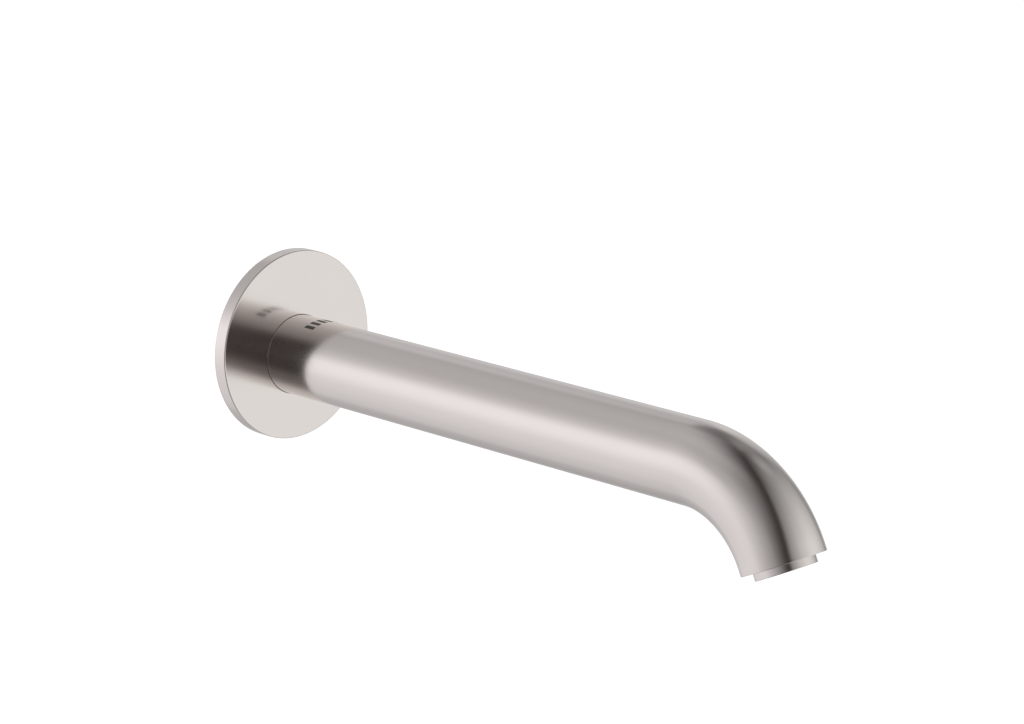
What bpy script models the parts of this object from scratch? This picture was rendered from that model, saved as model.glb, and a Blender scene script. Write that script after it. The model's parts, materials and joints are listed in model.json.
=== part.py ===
"""Wall-mounted bath spout: a bent round tube that slips over a threaded wall adapter, with a
sliding round escutcheon, a grub screw that locks the tube, and a screw-in aerator at the mouth.

Frame: metres, +Z up. The finished wall is the plane Y = 0, the spout points along -Y, and the
origin is on the tube's axis in the wall plane. Two local frames carry the turned pieces. In the
tube's frame local +Z runs out of the wall and local +Y is up. In the outlet's frame local +Z
runs out of the spout's mouth, and 0 is the plane of the mouth.
"""

import math

import bmesh
import bpy
from mathutils import Matrix, Vector

MM = 0.001
QUARTER = math.radians(90)
GAP = 0.3 * MM  # kept between solids that touch on the real object
OVER = 1.0 * MM  # how far a cutter runs past the face that it opens

# Spout tube
TUBE_R = 14.66 * MM
TUBE_WALL = 1.5 * MM
TUBE_REAR = 0.8 * MM  # the tube's rear end stands this far off the wall
BEND_START = 202.3 * MM  # wall to the start of the bend
BEND_R = 41.2 * MM
BEND_ANGLE = math.radians(64.5)
TAIL = 2.6 * MM  # straight stretch between the bend and the mouth
TUBE_SIDES = 48
BEND_STEPS = 10

# Escutcheon: a round cover whose centre is above the tube's axis
DISC_R = 35.0 * MM
DISC_DEPTH = 5.8 * MM
DISC_OFFSET = 3.44 * MM
DISC_FACE = 1.8 * MM  # thickness of the front wall
DISC_RIM = 1.5 * MM  # thickness of the rim wall
DISC_EDGE = 0.25 * MM  # chamfer of the front edge
DISC_SIDES = 64
DISC_REAR = 0.3 * MM  # the rim stops this far off the wall, and the foam gasket touches it
BORE_R = TUBE_R + 0.25 * MM  # running clearance on the tube
CARRIER_HUB_R = 18.6 * MM
CARRIER_REAR = 1.7 * MM
CARRIER_SPOKES = 6
FOAM_IN = 28.0 * MM
FOAM_THICK = 1.4 * MM

# Wall adapter: G 1/2 thread behind the wall, hexagon, and a nose that the spout slips over
THREAD_R = 10.48 * MM
THREAD_ROOT_R = 9.35 * MM
THREAD_PITCH = 1.814 * MM
THREAD_REAR = -18.0 * MM
THREAD_FRONT = -3.4 * MM
HEX_FLATS = 22.0 * MM
HEX_REAR = -1.2 * MM
HEX_FRONT = 4.0 * MM
NOSE_R = 10.9 * MM
NOSE_FRONT = 44.0 * MM
WATERWAY_R = 5.85 * MM
KEY_FLATS = 12.0 * MM
KEY_DEPTH = 14.0 * MM
CORD_R = 1.0 * MM  # radius of the O-rings' cord
GROOVE_R = 9.0 * MM
GROOVE_WIDTH = 2.6 * MM
GROOVES = {"rear": 31.0 * MM, "front": 38.0 * MM}

# Base bush: the socket brazed inside the tube's rear end
BUSH_R = TUBE_R - TUBE_WALL - GAP
BUSH_BORE_R = NOSE_R + GAP
BUSH_REAR = 5.0 * MM
BUSH_FRONT = 47.0 * MM
BUSH_LIP_R = 8.5 * MM
BUSH_LIP = 2.0 * MM

# Grub screw M5, up through the underside of the tube into the adapter's vee groove
GRUB_AT = 16.0 * MM
GRUB_R = 2.4 * MM
GRUB_HOLE_R = GRUB_R + GAP
GRUB_OUTER = 13.4 * MM  # its socket end, inside the tube's surface
GRUB_TIP = 9.9 * MM
GRUB_POINT = 1.4 * MM
GRUB_KEY_FLATS = 2.5 * MM
VEE_DEPTH = 1.3 * MM

# Aerator, M24 x 1
AERATOR_R = 10.7 * MM  # the ring that shows
AERATOR_OUT = 2.7 * MM
AERATOR_TOP = -2.9 * MM
AERATOR_SHOULDER = -0.25 * MM
AERATOR_PITCH = 1.0 * MM
AERATOR_THREAD_R = 11.85 * MM
AERATOR_ROOT_R = 11.35 * MM
AERATOR_BORE_R = 9.6 * MM
AERATOR_LIP_R = 8.9 * MM
AERATOR_LIP = 0.8 * MM
AERATOR_CREST = 0.15 * MM
FEMALE_RADIAL = 0.2 * MM  # thread clearances
FEMALE_AXIAL = 0.1 * MM
OUTLET_SEAT = -5.2 * MM  # the seal presses up against this shoulder
OUTLET_SEAT_R = 9.6 * MM
OUTLET_TOP = -6.3 * MM
OUTLET_MOUTH = -0.15 * MM
CARTRIDGE_R = AERATOR_BORE_R - 0.25 * MM
CARTRIDGE_BORE_R = 8.3 * MM
CARTRIDGE_TOP = OUTLET_SEAT + 0.2 * MM
CARTRIDGE_BOTTOM = AERATOR_OUT - AERATOR_LIP - GAP
FLANGE_R = 11.1 * MM
FLANGE_LOW = AERATOR_TOP - 0.2 * MM
FLANGE_HIGH = FLANGE_LOW - 0.7 * MM
NECK_R = 8.9 * MM
INSERT_R = CARTRIDGE_BORE_R - 0.2 * MM  # plates that sit inside the cartridge
STRAINER_WALL = 0.7 * MM

SHARP = math.radians(30)  # edges that turn by more than this are shaded sharp
RING_SIDES = 28
THREAD_STEPS = 20  # steps a turn, unlike RING_SIDES, so that no thread edge lies on a core edge

PARTS = "wall_bath_spout"
CUTTERS = "cutters"


# ---------------------------------------------------------------- helpers


def clear_scene():
    for old in list(bpy.data.objects):
        bpy.data.objects.remove(old, do_unlink=True)
    for name in (PARTS, CUTTERS):
        bpy.context.scene.collection.children.link(bpy.data.collections.new(name))


def material(name, colour, roughness, metallic):
    made = bpy.data.materials.new(name)
    made.use_nodes = True
    shader = made.node_tree.nodes["Principled BSDF"]
    shader.inputs["Base Color"].default_value = (*colour, 1.0)
    shader.inputs["Roughness"].default_value = roughness
    shader.inputs["Metallic"].default_value = metallic
    return made


def axis_empty(name, location, tilt, parent=None):
    """A local frame, turned about X so that its +Z runs along a piece's axis."""
    empty = bpy.data.objects.new(name, None)
    empty.parent = parent
    empty.location = location
    empty.rotation_euler = (tilt, 0.0, 0.0)
    bpy.data.collections[PARTS].objects.link(empty)
    return empty


def add(name, mesh, parent, finish=None):
    """A piece of the assembly or, with no finish, a cutter."""
    obj = bpy.data.objects.new(name, mesh)
    obj.parent = parent
    if finish:
        bpy.data.collections[PARTS].objects.link(obj)
        mesh.materials.append(finish)
    else:
        bpy.data.collections[CUTTERS].objects.link(obj)
        obj.hide_render = True
        obj.display_type = "WIRE"
    return obj


def shade(mesh):
    mesh.shade_smooth()
    mesh.set_sharp_from_angle(angle=SHARP)


def boolean(obj, operation, other):
    modifier = obj.modifiers.new(other.name, "BOOLEAN")
    modifier.operation = operation
    modifier.object = other
    return obj


def mesh_from(name, build):
    bm = bmesh.new()
    build(bm)
    mesh = bpy.data.meshes.new(name)
    bm.to_mesh(mesh)
    bm.free()
    shade(mesh)
    return mesh


def turned(name, profile, parent, finish=None, sides=RING_SIDES, closed=True):
    """A solid of revolution about local Z. The profile runs down the outer side and, when it is
    closed, back up the bore. An open profile starts and ends on the axis. The Screw modifier is
    applied, so that only real edges are shaded sharp."""
    count = len(profile)
    mesh = bpy.data.meshes.new(name)
    edges = [(i, (i + 1) % count) for i in range(count if closed else count - 1)]
    mesh.from_pydata([(r, 0.0, z) for r, z in profile], edges, [])
    obj = add(name, mesh, parent, finish)
    screw = obj.modifiers.new("Turn", "SCREW")
    screw.steps = screw.render_steps = sides
    screw.use_merge_vertices = True
    screw.merge_threshold = 1e-6
    graph = bpy.context.evaluated_depsgraph_get()
    obj.data = bpy.data.meshes.new_from_object(obj.evaluated_get(graph))
    obj.modifiers.clear()
    shade(obj.data)
    bpy.data.meshes.remove(mesh)
    return obj


def ring(name, inner, outer, z_low, z_high, parent, finish=None, sides=RING_SIDES):
    profile = [(outer, z_high), (outer, z_low), (inner, z_low), (inner, z_high)]
    return turned(name, profile, parent, finish, sides)


def cylinders(name, radius, z_low, z_high, places, parent, sides=8, finish=None):
    """Cylinders parallel to local Z, one at each (x, y)."""

    def build(bm):
        for x, y in places:
            bmesh.ops.create_cone(
                bm,
                cap_ends=True,
                segments=sides,
                radius1=radius,
                radius2=radius,
                depth=z_high - z_low,
                matrix=Matrix.Translation((x, y, (z_low + z_high) / 2)),
            )

    return add(name, mesh_from(name, build), parent, finish)


def hexagon(name, flats, z_low, z_high, parent):
    return cylinders(name, flats / math.sqrt(3), z_low, z_high, [(0.0, 0.0)], parent, sides=6)


def boxes(name, places, parent):
    """Separate boxes. Each place is (centre, size, turn about local Z)."""

    def build(bm):
        for centre, size, turn in places:
            matrix = Matrix.Translation(centre) @ Matrix.Rotation(turn, 4, "Z")
            bmesh.ops.create_cube(bm, size=1.0, matrix=matrix @ Matrix.Diagonal((*size, 1.0)))

    return add(name, mesh_from(name, build), parent)


def torus(name, ring_r, cord_r, z, parent, finish):
    bpy.ops.mesh.primitive_torus_add(
        major_segments=RING_SIDES, minor_segments=6, major_radius=ring_r, minor_radius=cord_r
    )
    made = bpy.context.active_object
    mesh = made.data
    bpy.data.objects.remove(made)
    mesh.transform(Matrix.Translation((0.0, 0.0, z)))
    mesh.shade_smooth()
    return add(name, mesh, parent, finish)


def thread_ridge(name, root_r, crest_r, crest, half_angle, pitch, z_low, z_high, parent):
    """A right-hand helical ridge about local Z. Where local X is crossed, its crests are at whole
    pitches, so a screw and its nut mesh. Its foot is sunk a little into the core it joins."""
    foot_r = root_r - 0.1 * MM
    half_foot = crest / 2 + (crest_r - foot_r) * math.tan(half_angle)
    first = math.floor(z_low / pitch) * pitch
    turns = math.ceil((z_high - first) / pitch)

    def build(bm):
        corners = (
            (foot_r, -half_foot),
            (crest_r, -crest / 2),
            (crest_r, crest / 2),
            (foot_r, half_foot),
        )
        face = bm.faces.new([bm.verts.new((r, 0.0, first + z)) for r, z in corners])
        bmesh.ops.spin(
            bm,
            geom=[face, *face.edges, *face.verts],
            axis=(0.0, 0.0, 1.0),
            dvec=(0.0, 0.0, pitch / THREAD_STEPS),
            angle=turns * math.tau,
            steps=turns * THREAD_STEPS,
        )
        bmesh.ops.recalc_face_normals(bm, faces=bm.faces)

    return add(name, mesh_from(name, build), parent)


def thread_envelope(name, foot_r, crest_r, inner_r, z_low, z_high, parent):
    """What a male thread is trimmed to: it runs out at 45 degrees at both ends."""
    slope = crest_r - foot_r + 0.3 * MM
    profile = [
        (foot_r, z_high),
        (foot_r + slope, z_high - slope),
        (foot_r + slope, z_low + slope),
        (foot_r, z_low),
        (inner_r, z_low),
        (inner_r, z_high),
    ]
    return turned(name, profile, parent)


def polar(radius, count, start=0.0):
    turns = [start + math.tau * i / count for i in range(count)]
    return [(radius * math.cos(turn), radius * math.sin(turn)) for turn in turns]


def hexagonal_grid(pitch, rings):
    """Centres of a honeycomb with this many rings of cells round the middle one."""
    reach = range(-rings, rings + 1)
    cells = [(q, r) for q in reach for r in reach if abs(q + r) <= rings]
    return [(pitch * (q + r / 2), pitch * r * math.sqrt(3) / 2) for q, r in cells]


# ---------------------------------------------------------------- spout


def new_vertices(geometry):
    return [g for g in geometry if isinstance(g, bmesh.types.BMVert)]


def new_edges(geometry):
    return [g for g in geometry if isinstance(g, bmesh.types.BMEdge)]


def extrude(bm, edges, offset):
    made = bmesh.ops.extrude_edge_only(bm, edges=edges)["geom"]
    bmesh.ops.translate(bm, vec=offset, verts=new_vertices(made))
    return new_edges(made)


def make_spout_tube(axis, finish):
    """A circle extruded along the straight, spun round the bend, extruded to the mouth, and
    given its wall by Solidify. Built in the tube's frame: out is +Z, and the bend turns to -Y."""

    def build(bm):
        start = Matrix.Translation((0.0, 0.0, TUBE_REAR))
        bmesh.ops.create_circle(bm, segments=TUBE_SIDES, radius=TUBE_R, matrix=start)
        end = extrude(bm, bm.edges[:], Vector((0.0, 0.0, BEND_START - TUBE_REAR)))
        spun = bmesh.ops.spin(
            bm,
            geom=[*{v for edge in end for v in edge.verts}, *end],
            cent=(0.0, -BEND_R, BEND_START),
            axis=(1.0, 0.0, 0.0),
            angle=BEND_ANGLE,
            steps=BEND_STEPS,
        )
        mouth = Vector((0.0, -math.sin(BEND_ANGLE), math.cos(BEND_ANGLE)))
        extrude(bm, new_edges(spun["geom_last"]), mouth * TAIL)
        bmesh.ops.recalc_face_normals(bm, faces=bm.faces)
        bm.faces.ensure_lookup_table()  # an open surface may come out with its faces all inwards
        side = bm.faces[0]
        if side.normal.dot(side.calc_center_median() * Vector((1.0, 1.0, 0.0))) < 0:
            bmesh.ops.reverse_faces(bm, faces=bm.faces)

    tube = add("spout_tube", mesh_from("spout_tube", build), axis, finish)
    wall = tube.modifiers.new("Wall", "SOLIDIFY")
    wall.thickness = TUBE_WALL
    wall.offset = -1.0
    wall.use_even_offset = True
    return tube


def make_base_bush(axis, finish):
    """Brass socket inside the tube's rear end, with a stop lip in front of the adapter's nose."""
    lead = 0.8 * MM
    profile = [
        (BUSH_R, BUSH_FRONT),
        (BUSH_R, BUSH_REAR + lead / 2),
        (BUSH_R - lead / 2, BUSH_REAR),
        (BUSH_BORE_R + lead, BUSH_REAR),
        (BUSH_BORE_R, BUSH_REAR + lead),
        (BUSH_BORE_R, BUSH_FRONT - BUSH_LIP),
        (BUSH_LIP_R, BUSH_FRONT - BUSH_LIP),
        (BUSH_LIP_R, BUSH_FRONT),
    ]
    return turned("spout_base_bush", profile, axis, finish)


def make_grub_screw(axis, finish):
    """Set screw with a cone point and a hexagon socket. Its own +Z points down, out of its hole."""
    chamfer = 0.3 * MM
    profile = [
        (0.0, GRUB_OUTER),
        (GRUB_R - chamfer, GRUB_OUTER),
        (GRUB_R, GRUB_OUTER - chamfer),
        (GRUB_R, GRUB_TIP + GRUB_POINT),
        (GRUB_R - GRUB_POINT, GRUB_TIP),
        (0.0, GRUB_TIP),
    ]
    screw = turned("grub_screw", profile, axis, finish, sides=24, closed=False)
    depth = 1.8 * MM
    key = hexagon("grub_key", GRUB_KEY_FLATS, GRUB_OUTER - depth, GRUB_OUTER + OVER, axis)
    return boolean(screw, "DIFFERENCE", key)


# ---------------------------------------------------------------- wall adapter and its seals


def make_wall_adapter(axis, finish):
    """Threaded brass adapter: nose, O-ring grooves, vee groove, hexagon, thread and waterway."""
    chamfer = 0.8 * MM
    lead = 0.4 * MM
    relief = 0.3 * MM
    half = GROOVE_WIDTH / 2
    neck_r = THREAD_ROOT_R - relief
    neck = HEX_REAR + lead
    profile = [(NOSE_R - chamfer, NOSE_FRONT), (NOSE_R, NOSE_FRONT - chamfer)]
    for centre in reversed(GROOVES.values()):
        profile += [
            (NOSE_R, centre + half),
            (GROOVE_R, centre + half),
            (GROOVE_R, centre - half),
            (NOSE_R, centre - half),
        ]
    profile += [
        (NOSE_R, GRUB_AT + 2 * VEE_DEPTH),
        (NOSE_R - VEE_DEPTH, GRUB_AT + VEE_DEPTH),
        (NOSE_R - VEE_DEPTH, GRUB_AT - VEE_DEPTH),
        (NOSE_R, GRUB_AT - 2 * VEE_DEPTH),
        (NOSE_R, neck),
        (neck_r, neck),
        (neck_r, THREAD_FRONT),
        (THREAD_ROOT_R, THREAD_FRONT - relief),
        (THREAD_ROOT_R, THREAD_REAR + lead),
        (THREAD_ROOT_R - lead, THREAD_REAR),
        (WATERWAY_R, THREAD_REAR),
        (WATERWAY_R, NOSE_FRONT),
    ]
    adapter = turned("wall_adapter", profile, axis, finish)

    ends = (THREAD_REAR + 0.3 * MM, THREAD_FRONT - 0.1 * MM)
    sizes = (THREAD_ROOT_R, THREAD_R, 0.35 * MM, math.radians(27.5), THREAD_PITCH)
    ridge = thread_ridge("adapter_ridge", *sizes, *ends, axis)
    foot_r, inner_r = THREAD_ROOT_R - 0.04 * MM, WATERWAY_R + OVER
    envelope = thread_envelope("adapter_envelope", foot_r, THREAD_R, inner_r, *ends, axis)
    boolean(ridge, "INTERSECT", envelope)
    boolean(adapter, "UNION", ridge)

    collar = hexagon("adapter_hexagon", HEX_FLATS, HEX_REAR, HEX_FRONT, axis)
    clear = (HEX_REAR - OVER, HEX_FRONT + OVER)
    bore = cylinders("hexagon_bore", NOSE_R - OVER, *clear, [(0.0, 0.0)], axis, sides=RING_SIDES)
    boolean(collar, "DIFFERENCE", bore)
    boolean(adapter, "UNION", collar)
    key = hexagon("adapter_key", KEY_FLATS, NOSE_FRONT - KEY_DEPTH, NOSE_FRONT + OVER, axis)
    return boolean(adapter, "DIFFERENCE", key)


def make_adapter_seals(axis, rubber, fibre):
    """The two O-rings on the nose and the flat seal behind the hexagon."""
    for place, centre in GROOVES.items():
        torus(f"adapter_o_ring_{place}", GROOVE_R + 0.1 * MM + CORD_R, CORD_R, centre, axis, rubber)
    inner, outer = THREAD_R + GAP, HEX_FLATS / 2 + 1.5 * MM
    ring("adapter_flat_seal", inner, outer, THREAD_FRONT + 0.1 * MM, HEX_REAR - GAP, axis, fibre)


# ---------------------------------------------------------------- escutcheon


def make_escutcheon(disc_axis, finish):
    """The round cover: a turned cup, bored off its centre for the tube."""
    inside = DISC_DEPTH - DISC_FACE
    profile = [
        (0.0, DISC_DEPTH),
        (DISC_R - DISC_EDGE, DISC_DEPTH),
        (DISC_R, DISC_DEPTH - DISC_EDGE),
        (DISC_R, DISC_REAR),
        (DISC_R - DISC_RIM, DISC_REAR),
        (DISC_R - DISC_RIM, inside),
        (0.0, inside),
    ]
    disc = turned("escutcheon", profile, disc_axis, finish, sides=DISC_SIDES, closed=False)
    place = [(0.0, -DISC_OFFSET)]
    ends = (inside - OVER, DISC_DEPTH + OVER)
    bore = cylinders("escutcheon_bore", BORE_R, *ends, place, disc_axis, sides=TUBE_SIDES)
    return boolean(disc, "DIFFERENCE", bore)


def make_escutcheon_carrier(axis, disc_axis, plastic, rubber):
    """Moulded ring behind the face: a hub with an O-ring groove, an outer ring and spokes."""
    rear, front = 0.5 * MM, DISC_DEPTH - DISC_FACE - GAP
    groove_r, groove_low, groove_high = 16.6 * MM, 1.1 * MM, 3.0 * MM
    profile = [
        (CARRIER_HUB_R, front),
        (CARRIER_HUB_R, rear),
        (BORE_R, rear),
        (BORE_R, groove_low),
        (groove_r, groove_low),
        (groove_r, groove_high),
        (BORE_R, groove_high),
        (BORE_R, front),
    ]
    hub = turned("escutcheon_carrier", profile, axis, plastic)
    cord_r = 0.75 * MM
    torus("escutcheon_o_ring", TUBE_R + 0.13 * MM + cord_r, cord_r, 2.05 * MM, axis, rubber)

    ring_in, ring_out = FOAM_IN - 0.4 * MM, DISC_R - DISC_RIM - GAP
    outer = ring("carrier_ring", ring_in, ring_out, CARRIER_REAR, front, disc_axis, sides=48)
    boolean(hub, "UNION", outer)
    low, high = CARRIER_REAR + 0.4 * MM, front - GAP
    reach, width = 24.0 * MM, 2.4 * MM
    places = []
    for x, y in polar(reach, CARRIER_SPOKES, math.pi / CARRIER_SPOKES):
        centre = Vector((x, y, (low + high) / 2))
        places.append((centre, (14.5 * MM, width, high - low), math.atan2(y, x)))
    spokes = boxes("carrier_spokes", places, disc_axis)
    clear = [(0.0, -DISC_OFFSET)]
    inner_r = (groove_r + CARRIER_HUB_R) / 2
    core = cylinders("spokes_core", inner_r, 0.0, DISC_DEPTH, clear, disc_axis, sides=RING_SIDES)
    boolean(spokes, "DIFFERENCE", core)
    return boolean(hub, "UNION", spokes)


def make_wall_gasket(disc_axis, foam):
    outer = DISC_R - DISC_RIM - 0.4 * MM
    return ring("escutcheon_wall_gasket", FOAM_IN, outer, 0.0, FOAM_THICK, disc_axis, foam, sides=48)


# ---------------------------------------------------------------- aerator


def make_outlet_bush(outlet, finish):
    """Ring brazed inside the mouth: M24 x 1 female thread, and the seat for the aerator's seal."""
    relief = 0.5 * MM  # the upper part is slimmer, because the tube starts to bend there
    step = -2.6 * MM
    profile = [
        (BUSH_R, OUTLET_MOUTH),
        (BUSH_R, step),
        (BUSH_R - relief, step - relief),
        (BUSH_R - relief, OUTLET_TOP),
        (OUTLET_SEAT_R, OUTLET_TOP),
        (OUTLET_SEAT_R, OUTLET_MOUTH),
    ]
    bush = turned("outlet_bush", profile, outlet, finish)
    core_r = AERATOR_ROOT_R + FEMALE_RADIAL
    flare = 0.6 * MM
    core_profile = [
        (0.0, OVER),
        (core_r + flare + OVER - OUTLET_MOUTH, OVER),
        (core_r, OUTLET_MOUTH - flare),
        (core_r, OUTLET_SEAT),
        (0.0, OUTLET_SEAT),
    ]
    core = turned("female_core", core_profile, outlet, closed=False)
    boolean(bush, "DIFFERENCE", core)
    crest_r = AERATOR_THREAD_R + FEMALE_RADIAL
    crest = AERATOR_CREST + FEMALE_AXIAL
    sizes = (core_r, crest_r, crest, math.radians(30), AERATOR_PITCH)
    ridge = thread_ridge("female_ridge", *sizes, OUTLET_SEAT, OVER, outlet)
    limit_low = OUTLET_SEAT + 0.4 * MM
    limit = ring("female_limit", OUTLET_SEAT_R, BUSH_R + OVER, limit_low, 0.6 * MM, outlet)
    boolean(ridge, "INTERSECT", limit)
    return boolean(bush, "DIFFERENCE", ridge)


def make_aerator_housing(outlet, finish):
    """The ring that shows, its M24 x 1 male thread, and the lip that holds the cartridge."""
    edge = 0.2 * MM
    profile = [
        (AERATOR_R - edge, AERATOR_OUT),
        (AERATOR_R, AERATOR_OUT - edge),
        (AERATOR_R, AERATOR_SHOULDER + 0.35 * MM),
        (AERATOR_ROOT_R, AERATOR_SHOULDER),
        (AERATOR_ROOT_R, AERATOR_TOP),
        (AERATOR_BORE_R, AERATOR_TOP),
        (AERATOR_BORE_R, AERATOR_OUT - AERATOR_LIP),
        (AERATOR_BORE_R - edge, AERATOR_OUT - AERATOR_LIP),
        (AERATOR_LIP_R, AERATOR_OUT),
    ]
    housing = turned("aerator_housing", profile, outlet, finish)
    ends = (AERATOR_TOP + 0.1 * MM, AERATOR_SHOULDER - 0.1 * MM)
    sizes = (AERATOR_ROOT_R, AERATOR_THREAD_R, AERATOR_CREST, math.radians(30), AERATOR_PITCH)
    ridge = thread_ridge("housing_ridge", *sizes, *ends, outlet)
    foot_r, inner_r = AERATOR_ROOT_R - 0.04 * MM, AERATOR_BORE_R + OVER
    envelope = thread_envelope("housing_envelope", foot_r, AERATOR_THREAD_R, inner_r, *ends, outlet)
    boolean(ridge, "INTERSECT", envelope)
    boolean(housing, "UNION", ridge)
    size = (2.0 * MM, 1.8 * MM, 1.2 * MM)
    places = [
        (Vector((x, y, AERATOR_OUT)), size, math.atan2(y, x))
        for x, y in polar(AERATOR_LIP_R, 4, QUARTER / 2)
    ]
    return boolean(housing, "DIFFERENCE", boxes("key_notches", places, outlet))


def make_cartridge(outlet, plastic, rubber):
    """The sleeve inside the housing with its air slots, and the seal on its flange."""
    profile = [
        (CARTRIDGE_R, CARTRIDGE_BOTTOM),
        (CARTRIDGE_R, FLANGE_LOW),
        (FLANGE_R, FLANGE_LOW),
        (FLANGE_R, FLANGE_HIGH),
        (NECK_R, FLANGE_HIGH),
        (NECK_R, CARTRIDGE_TOP),
        (CARTRIDGE_BORE_R, CARTRIDGE_TOP),
        (CARTRIDGE_BORE_R, CARTRIDGE_BOTTOM),
    ]
    sleeve = turned("aerator_cartridge", profile, outlet, plastic)
    middle_r = (CARTRIDGE_BORE_R + CARTRIDGE_R) / 2
    size = (3.0 * MM, 2.2 * MM, 0.8 * MM)
    places = [
        (Vector((x, y, -1.7 * MM)), size, math.atan2(y, x)) for x, y in polar(middle_r, 6)
    ]
    boolean(sleeve, "DIFFERENCE", boxes("air_slots", places, outlet))
    inner, outer = NECK_R + 0.2 * MM, FLANGE_R + 0.1 * MM
    ring("aerator_seal", inner, outer, CARTRIDGE_TOP, FLANGE_HIGH - 0.2 * MM, outlet, rubber)


def make_strainer(outlet, plastic):
    """The domed filter above the cartridge, with a row of slots round its skirt."""
    bottom, shoulder, crown = -4.2 * MM, -7.2 * MM, -9.0 * MM
    inner_r = INSERT_R - STRAINER_WALL
    knee = 0.72  # where the crown meets the shoulder's slope, as a share of the radius
    knee_z = (shoulder + 3 * crown) / 4
    profile = [
        (0.0, crown + STRAINER_WALL),
        (inner_r * knee, knee_z + STRAINER_WALL),
        (inner_r, shoulder + 0.3 * MM),
        (inner_r, bottom),
        (INSERT_R, bottom),
        (INSERT_R, shoulder),
        (INSERT_R * knee, knee_z),
        (0.0, crown),
    ]
    dome = turned("aerator_strainer", profile, outlet, plastic, closed=False)
    slots = 12
    size = (3.0 * MM, 1.0 * MM, 1.9 * MM)
    centre_z = (bottom + shoulder) / 2 - 0.3 * MM
    places = [
        (Vector((x, y, centre_z)), size, math.atan2(y, x)) for x, y in polar(INSERT_R, slots)
    ]
    return boolean(dome, "DIFFERENCE", boxes("strainer_slots", places, outlet))


def make_flow_regulator(outlet, plastic, rubber):
    """A disc with a ring of ports, and the elastic ring that closes on them under pressure."""
    low, high = -5.6 * MM, -4.5 * MM
    radius = INSERT_R - STRAINER_WALL - GAP
    middle = [(0.0, 0.0)]
    seat = cylinders("flow_regulator_seat", radius, low, high, middle, outlet, RING_SIDES, plastic)
    ports = cylinders("regulator_ports", 0.6 * MM, low - OVER, high + OVER, polar(4 * MM, 8), outlet)
    boolean(seat, "DIFFERENCE", ports)
    cord_r = 0.7 * MM
    torus("flow_regulator_ring", 4.6 * MM, cord_r, low - 0.1 * MM - cord_r, outlet, rubber)


def make_plates(outlet, plastic, steel):
    """The jet plate, the two crossed grids and the honeycomb, from the inlet to the outlet."""
    middle = [(0.0, 0.0)]
    low, high = -3.9 * MM, -2.7 * MM
    plate = cylinders("aerator_jet_plate", INSERT_R, low, high, middle, outlet, RING_SIDES, plastic)
    jets = polar(4.9 * MM, 12) + polar(2.6 * MM, 6)
    cut = cylinders("jets", 0.45 * MM, low - OVER, high + OVER, jets, outlet, sides=6)
    boolean(plate, "DIFFERENCE", cut)

    grid_thick, pitch, slot = 0.4 * MM, 1.6 * MM, 0.9 * MM
    for place, grid_low, turn in (("upper", -0.9 * MM, 0.0), ("lower", -0.2 * MM, QUARTER)):
        name, grid_high = f"aerator_grid_{place}", grid_low + grid_thick
        grid = cylinders(name, INSERT_R, grid_low, grid_high, middle, outlet, RING_SIDES, steel)
        places = []
        for i in range(-4, 5):
            length = 2 * math.sqrt((INSERT_R - 0.7 * MM) ** 2 - (i * pitch) ** 2)
            centre = Vector((i * pitch, 0.0, grid_low)) @ Matrix.Rotation(turn, 3, "Z")
            places.append((centre, (slot, length, 2 * MM), -turn))
        boolean(grid, "DIFFERENCE", boxes(f"grid_slots_{place}", places, outlet))

    low, high = 0.5 * MM, CARTRIDGE_BOTTOM
    comb = cylinders("aerator_honeycomb", INSERT_R, low, high, middle, outlet, RING_SIDES, plastic)
    cells = hexagonal_grid(3.0 * MM, 2)
    cut = cylinders("cells", 1.35 * MM, low - OVER, high + OVER, cells, outlet, sides=6)
    boolean(comb, "DIFFERENCE", cut)


# ---------------------------------------------------------------- assembly


def main():
    clear_scene()
    nickel = material("brushed_nickel", (0.66, 0.63, 0.61), 0.22, 1.0)
    brass = material("brass", (0.78, 0.60, 0.30), 0.30, 1.0)
    steel = material("stainless_steel", (0.60, 0.60, 0.60), 0.30, 1.0)
    rubber = material("black_rubber", (0.02, 0.02, 0.02), 0.60, 0.0)
    plastic = material("white_plastic", (0.80, 0.80, 0.78), 0.45, 0.0)
    foam = material("grey_foam", (0.12, 0.12, 0.12), 0.95, 0.0)
    fibre = material("red_fibre", (0.35, 0.08, 0.05), 0.80, 0.0)

    tube_axis = axis_empty("tube_axis", (0.0, 0.0, 0.0), QUARTER)
    disc_axis = axis_empty("disc_axis", (0.0, DISC_OFFSET, 0.0), 0.0, tube_axis)
    grub_axis = axis_empty("grub_axis", (0.0, 0.0, GRUB_AT), QUARTER, tube_axis)
    sine, cosine = math.sin(BEND_ANGLE), math.cos(BEND_ANGLE)
    mouth_y = -BEND_R * (1 - cosine) - TAIL * sine
    mouth_z = BEND_START + BEND_R * sine + TAIL * cosine
    outlet = axis_empty("outlet_axis", (0.0, mouth_y, mouth_z), BEND_ANGLE, tube_axis)

    make_wall_adapter(tube_axis, brass)
    make_adapter_seals(tube_axis, rubber, fibre)

    tube = make_spout_tube(tube_axis, nickel)
    bush = make_base_bush(tube_axis, brass)
    hole_ends = (NOSE_R - OVER, TUBE_R + OVER)
    hole = cylinders("grub_hole", GRUB_HOLE_R, *hole_ends, [(0.0, 0.0)], grub_axis, sides=24)
    for piece in (tube, bush):
        boolean(piece, "DIFFERENCE", hole)
    make_grub_screw(grub_axis, steel)

    make_escutcheon(disc_axis, nickel)
    make_escutcheon_carrier(tube_axis, disc_axis, plastic, rubber)
    make_wall_gasket(disc_axis, foam)

    make_outlet_bush(outlet, brass)
    make_aerator_housing(outlet, nickel)
    make_cartridge(outlet, plastic, rubber)
    make_strainer(outlet, plastic)
    make_flow_regulator(outlet, plastic, rubber)
    make_plates(outlet, plastic, steel)


main()
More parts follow.
